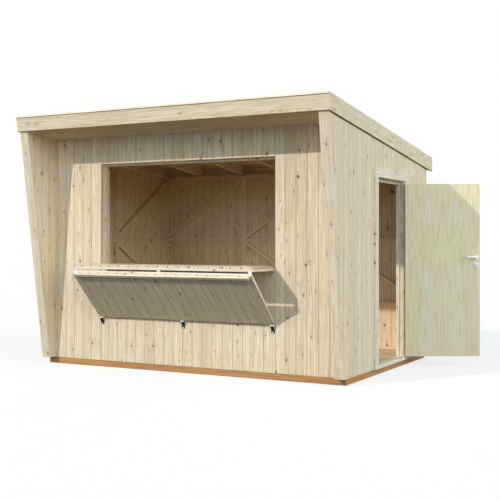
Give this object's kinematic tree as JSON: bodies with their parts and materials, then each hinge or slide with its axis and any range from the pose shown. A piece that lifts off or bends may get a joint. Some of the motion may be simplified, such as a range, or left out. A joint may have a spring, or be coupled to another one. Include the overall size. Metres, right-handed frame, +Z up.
{
  "type": "wooden market hut",
  "caption": "Timber market hut with raked side wings under a mono-pitch roof, a folding serving hatch that opens into a counter, and a hinged side door.",
  "frame": {"origin": "on the ground, under the middle of the floor", "axes": "+Z up, +X to the right of someone at the counter, +Y from the serving front to the rear wall"},
  "size_m": [4.3115, 3.0196, 2.6578],
  "materials": {
    "pine_boards": "planed, untreated",
    "pine_timber": "planed, untreated",
    "base_timber": "brown impregnated",
    "door_ply": "sanded plywood",
    "galvanised_steel": "galvanised",
    "handle_metal": "satin"
  },
  "bodies": {
    "hut": {"base_cross_beams": "base_timber", "base_side_beams": "base_timber", "canopy_soffit": "pine_boards", "cross_wall_rails": "pine_timber", "door_casing_head": "pine_timber", "door_casing_legs": "pine_timber", "door_head": "pine_timber", "door_head_stop": "pine_timber", "door_hinge_posts": "galvanised_steel", "door_jambs": "pine_timber", "door_side_stops": "pine_timber", "door_threshold": "pine_timber", "eaves_blocks": "pine_boards", "flap_catches": "galvanised_steel", "floor_boards": "pine_boards", "floor_joists": "base_timber", "front_fascia": "pine_timber", "front_wall_below": "pine_boards", "front_wall_head": "pine_boards", "front_wall_sides": "pine_boards", "left_wall": "pine_boards", "rafters": "pine_timber", "rear_fascia": "pine_timber", "rear_wall": "pine_boards", "right_wall_front": "pine_boards", "right_wall_over_door": "pine_boards", "right_wall_rear": "pine_boards", "roof_cross_strips": "pine_timber", "roof_deck": "pine_boards", "roof_side_strips": "pine_timber", "serving_head": "pine_timber", "serving_posts": "pine_timber", "serving_side_stops": "pine_timber", "serving_sill": "pine_timber", "serving_top_stop": "pine_timber", "side_fascias": "pine_timber", "side_wall_rails": "pine_timber", "sill_hinge_plates": "galvanised_steel", "wall_braces": "pine_timber", "wall_studs": "pine_timber", "wing_front_boards": "pine_timber", "wing_linings": "pine_boards"},
    "counter": {"counter_front_hinges": "galvanised_steel", "counter_leaf": "pine_boards", "counter_rails": "pine_timber", "counter_rear_hinges": "galvanised_steel", "counter_stiles": "pine_timber"},
    "flap": {"flap_hinges": "galvanised_steel", "flap_leaf": "pine_boards", "flap_rails": "pine_timber", "flap_stiles": "pine_timber"},
    "door": {"door_leaf": "door_ply", "door_roses": "handle_metal", "door_hinge_leaves": "galvanised_steel"},
    "handle": {"door_handles": "handle_metal"}
  },
  "joints": [
    {"name": "counter_hinge", "type": "hinge", "parent": "hut", "child": "counter", "pos_m": [0, -1.188, 1.047], "axis": [1, 0, 0], "range_deg": [-90, 0]},
    {"name": "flap_hinge", "type": "hinge", "parent": "counter", "child": "flap", "pos_m": [0, -1.63699, 1.047], "axis": [1, 0, 0], "range_deg": [-133.97, 0]},
    {"name": "door_hinge", "type": "hinge", "parent": "hut", "child": "door", "pos_m": [1.787, 0.383, 1], "axis": [0, 0, 1], "range_deg": [-118.5, 16.5]},
    {"name": "handle_turn", "type": "hinge", "parent": "door", "child": "handle", "pos_m": [2.46914, 0.72151, 1.167], "axis": [0.4772, -0.8788, 0], "range_deg": [0, 40]}
  ]
}
